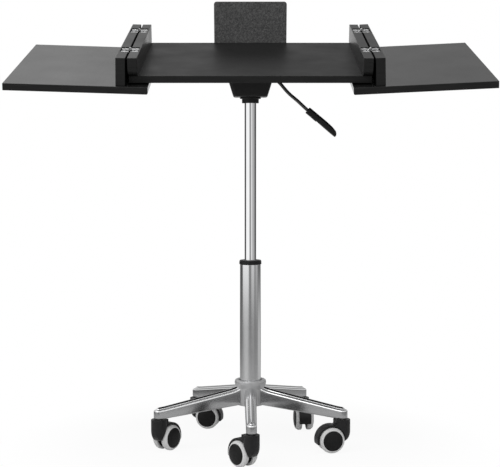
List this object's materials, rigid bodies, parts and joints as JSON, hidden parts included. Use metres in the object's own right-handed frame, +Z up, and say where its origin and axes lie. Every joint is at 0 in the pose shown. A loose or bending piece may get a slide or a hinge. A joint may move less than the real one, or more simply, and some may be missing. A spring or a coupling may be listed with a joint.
{
  "type": "laptop cart",
  "caption": "Rolling laptop cart: tilting black tabletop with folding side wings on rails, gas-lift column with lever, star base on twin-wheel castors.",
  "frame": {"origin": "on the floor under the middle of the cart's plan box; the column stands 8.8 mm behind it", "axes": "+Z up, +X to the user's right, +Y away from the user"},
  "size_m": [1.0874, 0.4719, 1.0743],
  "materials": {
    "chrome": "polished",
    "steel": "plated",
    "black_plastic": "satin",
    "black_board": "satin laminate",
    "black_paint": "satin",
    "rear_sheet": "grained",
    "wheel": "moulded"
  },
  "bodies": {
    "base": {"base_hub": "chrome", "base_leg_1": "chrome", "base_leg_2": "chrome", "base_leg_3": "chrome", "base_leg_4": "chrome", "base_leg_5": "chrome", "column_tube": "chrome", "tube_bush": "black_plastic"},
    "castor_1": {"castor_1_hood": "black_plastic", "castor_1_axle": "steel"},
    "castor_1_roller_a": {"castor_1_wheel_a": "wheel"},
    "castor_1_roller_b": {"castor_1_wheel_b": "wheel"},
    "castor_2": {"castor_2_hood": "black_plastic", "castor_2_axle": "steel"},
    "castor_2_roller_a": {"castor_2_wheel_a": "wheel"},
    "castor_2_roller_b": {"castor_2_wheel_b": "wheel"},
    "castor_3": {"castor_3_hood": "black_plastic", "castor_3_axle": "steel"},
    "castor_3_roller_a": {"castor_3_wheel_a": "wheel"},
    "castor_3_roller_b": {"castor_3_wheel_b": "wheel"},
    "castor_4": {"castor_4_hood": "black_plastic", "castor_4_axle": "steel"},
    "castor_4_roller_a": {"castor_4_wheel_a": "wheel"},
    "castor_4_roller_b": {"castor_4_wheel_b": "wheel"},
    "castor_5": {"castor_5_hood": "black_plastic", "castor_5_axle": "steel"},
    "castor_5_roller_a": {"castor_5_wheel_a": "wheel"},
    "castor_5_roller_b": {"castor_5_wheel_b": "wheel"},
    "piston": {"piston_rod": "steel", "thrust_bearing": "steel", "retaining_clip": "steel"},
    "lift": {"gas_cylinder": "chrome", "cylinder_collar": "black_plastic", "lift_head": "black_paint", "tilt_pin": "steel", "lever_pin": "steel"},
    "button": {"valve_button": "steel"},
    "lever": {"lever_rod": "black_paint", "lever_handle": "black_plastic"},
    "top": {"tilt_bracket": "black_paint", "centre_panel": "black_board", "inner_rail_left": "black_board", "inner_rail_right": "black_board", "rear_plate": "rear_sheet", "hinge_left_near_fixed_leaf": "steel", "hinge_left_near_pin": "steel", "hinge_left_far_fixed_leaf": "steel", "hinge_left_far_pin": "steel", "hinge_right_near_fixed_leaf": "steel", "hinge_right_near_pin": "steel", "hinge_right_far_fixed_leaf": "steel", "hinge_right_far_pin": "steel"},
    "left_wing": {"wing_left": "black_board", "outer_rail_left": "black_board", "hinge_left_near_wing_leaf": "steel", "hinge_left_far_wing_leaf": "steel"},
    "right_wing": {"wing_right": "black_board", "outer_rail_right": "black_board", "hinge_right_near_wing_leaf": "steel", "hinge_right_far_wing_leaf": "steel"}
  },
  "joints": [
    {"name": "castor_1_swivel", "type": "hinge", "parent": "base", "child": "castor_1", "pos_m": [0.00237, -0.21769, 0.078], "axis": [0, 0, 1], "continuous": true},
    {"name": "castor_1_roll_a", "type": "hinge", "parent": "castor_1", "child": "castor_1_roller_a", "pos_m": [-0.01662, -0.19577, 0.03], "axis": [-0.7559, -0.6547, 0], "continuous": true},
    {"name": "castor_1_roll_b", "type": "hinge", "parent": "castor_1", "child": "castor_1_roller_b", "pos_m": [-0.01662, -0.19577, 0.03], "axis": [-0.7559, -0.6547, 0], "continuous": true},
    {"name": "castor_2_swivel", "type": "hinge", "parent": "base", "child": "castor_2", "pos_m": [0.21613, -0.05893, 0.078], "axis": [0, 0, 1], "continuous": true},
    {"name": "castor_2_roll_a", "type": "hinge", "parent": "castor_2", "child": "castor_2_roller_a", "pos_m": [0.18797, -0.06585, 0.03], "axis": [0.2385, -0.9711, 0], "continuous": true},
    {"name": "castor_2_roll_b", "type": "hinge", "parent": "castor_2", "child": "castor_2_roller_b", "pos_m": [0.18797, -0.06585, 0.03], "axis": [0.2385, -0.9711, 0], "continuous": true},
    {"name": "castor_3_swivel", "type": "hinge", "parent": "base", "child": "castor_3", "pos_m": [0.13121, 0.19343, 0.078], "axis": [0, 0, 1], "continuous": true},
    {"name": "castor_3_roll_a", "type": "hinge", "parent": "castor_3", "child": "castor_3_roller_a", "pos_m": [0.13449, 0.16461, 0.03], "axis": [0.9936, 0.1132, 0], "continuous": true},
    {"name": "castor_3_roll_b", "type": "hinge", "parent": "castor_3", "child": "castor_3_roller_b", "pos_m": [0.13449, 0.16461, 0.03], "axis": [0.9936, 0.1132, 0], "continuous": true},
    {"name": "castor_4_swivel", "type": "hinge", "parent": "base", "child": "castor_4", "pos_m": [-0.13504, 0.19064, 0.078], "axis": [0, 0, 1], "continuous": true},
    {"name": "castor_4_roll_a", "type": "hinge", "parent": "castor_4", "child": "castor_4_roller_a", "pos_m": [-0.10663, 0.18486, 0.03], "axis": [0.1994, 0.9799, 0], "continuous": true},
    {"name": "castor_4_roll_b", "type": "hinge", "parent": "castor_4", "child": "castor_4_roller_b", "pos_m": [-0.10663, 0.18486, 0.03], "axis": [0.1994, 0.9799, 0], "continuous": true},
    {"name": "castor_5_swivel", "type": "hinge", "parent": "base", "child": "castor_5", "pos_m": [-0.21467, -0.06344, 0.078], "axis": [0, 0, 1], "continuous": true},
    {"name": "castor_5_roll_a", "type": "hinge", "parent": "castor_5", "child": "castor_5_roller_a", "pos_m": [-0.19742, -0.04013, 0.03], "axis": [-0.8039, 0.5948, 0], "continuous": true},
    {"name": "castor_5_roll_b", "type": "hinge", "parent": "castor_5", "child": "castor_5_roller_b", "pos_m": [-0.19742, -0.04013, 0.03], "axis": [-0.8039, 0.5948, 0], "continuous": true},
    {"name": "column_turn", "type": "hinge", "parent": "base", "child": "piston", "pos_m": [0, 0.0088, 0.11], "axis": [0, 0, 1], "continuous": true},
    {"name": "column_lift", "type": "slide", "parent": "piston", "child": "lift", "axis": [0, 0, 1], "range_m": [-0.22, 0]},
    {"name": "lever_pull", "type": "hinge", "parent": "lift", "child": "lever", "pos_m": [0.0435, 0.0088, 0.8715], "axis": [0, -1, 0], "range_deg": [0, 6], "stiffness_Nm_per_rad": 3},
    {"name": "button_press", "type": "slide", "parent": "lift", "child": "button", "axis": [0, 0, -1], "range_m": [0, 0.0046]},
    {"name": "top_tilt", "type": "hinge", "parent": "lift", "child": "top", "pos_m": [0, 0.0088, 0.8914], "axis": [1, 0, 0], "range_deg": [-15.3, 9.7]},
    {"name": "left_wing_fold", "type": "hinge", "parent": "top", "child": "left_wing", "pos_m": [-0.2707, -0.00331, 0.96678], "axis": [0, 0.9646, 0.2639], "range_deg": [0, 178.2]},
    {"name": "right_wing_fold", "type": "hinge", "parent": "top", "child": "right_wing", "pos_m": [0.2707, -0.00331, 0.96678], "axis": [0, -0.9646, -0.2639], "range_deg": [0, 177.2]}
  ],
  "couplings": [
    {"joint": "button_press", "follows": "lever_pull", "m_per_rad": 0.0435}
  ]
}
